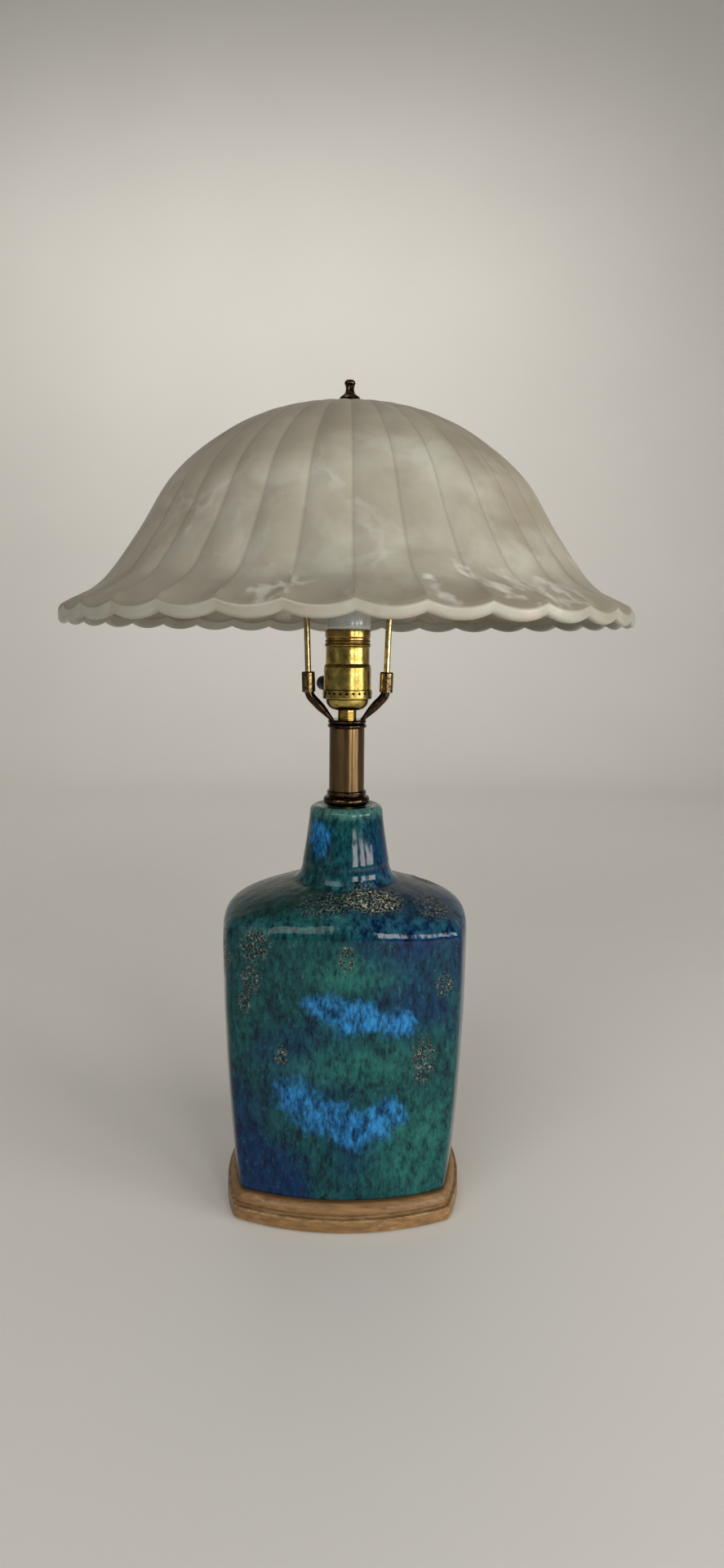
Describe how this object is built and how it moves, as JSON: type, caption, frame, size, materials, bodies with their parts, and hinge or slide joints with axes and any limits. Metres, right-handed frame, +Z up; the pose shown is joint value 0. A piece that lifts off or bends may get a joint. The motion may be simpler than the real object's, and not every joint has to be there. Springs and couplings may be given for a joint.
{
  "type": "table lamp",
  "caption": "Table lamp with an oblong glazed ceramic body on a wooden plinth, brass key socket, wire harp and a fluted glass dome shade held by a finial.",
  "frame": {"origin": "on the resting plane, on the axis of the body, pipe and shade", "axes": "+Z up along the lamp's axis, the front faces -Y, and the harp spans X"},
  "size_m": [0.3866, 0.3862, 0.5581],
  "materials": {
    "felt": "matte",
    "wood": "satin varnish, worn",
    "black_plastic": "moulded",
    "steel": "zinc plated",
    "glaze": "gloss, mottled",
    "pipe_steel": "plated",
    "bronze": "antique bronze",
    "tube_bronze": "antique brass, brushed",
    "brass": "polished, aged",
    "fibre": "matte",
    "phenolic": "moulded",
    "contact_brass": "bright",
    "tin": "satin",
    "black_glass": "gloss",
    "bulb_glass": "frosted",
    "clear_glass": "clear",
    "tungsten": "dull",
    "harp_brass": "polished, aged",
    "rubber": "matte",
    "shade_glass": "frosted, clouded"
  },
  "bodies": {
    "base": {"felt_pad": "felt", "plinth": "wood", "cord_bushing": "black_plastic", "base_washer": "steel", "base_nut": "steel", "ceramic_body": "glaze", "threaded_pipe": "pipe_steel", "foot_ring": "bronze", "neck_tube": "tube_bronze", "top_ring": "bronze", "harp_saddle": "bronze", "cap_hub": "brass", "hub_set_screw": "steel", "socket_cap": "brass", "cap_liner": "fibre", "socket_block": "phenolic", "terminal_screws": "steel", "contact_leaf": "contact_brass", "center_contact": "contact_brass", "screw_shell": "contact_brass", "shell_liner": "fibre", "socket_shell": "brass"},
    "switch": {"switch_shaft": "steel", "switch_rotor": "phenolic", "switch_knob": "black_plastic"},
    "bulb": {"bulb_contact": "tin", "bulb_insulator": "black_glass", "bulb_base": "tin", "bulb_glass": "bulb_glass", "bulb_stem": "clear_glass", "bulb_filament": "tungsten"},
    "harp": {"harp_bow": "harp_brass"},
    "left_ferrule": {"ferrule_left": "bronze"},
    "right_ferrule": {"ferrule_right": "bronze"},
    "stud": {"harp_stud": "brass", "seat_disc": "brass", "shade_gasket": "rubber"},
    "shade": {"shade": "shade_glass", "shade_washer": "brass"},
    "finial": {"finial": "bronze"}
  },
  "joints": [
    {"name": "switch_turn", "type": "hinge", "parent": "base", "child": "switch", "pos_m": [0, 0, 0.344], "axis": [-0.6691, 0.7431, 0], "continuous": true},
    {"name": "bulb_turn", "type": "hinge", "parent": "base", "child": "bulb", "pos_m": [0, 0, 0.37], "axis": [0, 0, 1], "continuous": true},
    {"name": "harp_lift", "type": "slide", "parent": "base", "child": "harp", "axis": [0, 0, 1], "range_m": [0, 0.02]},
    {"name": "left_ferrule_slide", "type": "slide", "parent": "harp", "child": "left_ferrule", "axis": [-0.0349, 0, 0.9994], "range_m": [0, 0.012]},
    {"name": "right_ferrule_slide", "type": "slide", "parent": "harp", "child": "right_ferrule", "axis": [0.0349, 0, 0.9994], "range_m": [0, 0.012]},
    {"name": "shade_swivel", "type": "hinge", "parent": "harp", "child": "stud", "pos_m": [0, 0, 0.5256], "axis": [0, 0, 1], "continuous": true},
    {"name": "shade_lift", "type": "slide", "parent": "stud", "child": "shade", "axis": [0, 0, 1], "range_m": [0, 0.015]},
    {"name": "finial_turn", "type": "hinge", "parent": "shade", "child": "finial", "pos_m": [0, 0, 0.545], "axis": [0, 0, 1], "continuous": true}
  ]
}
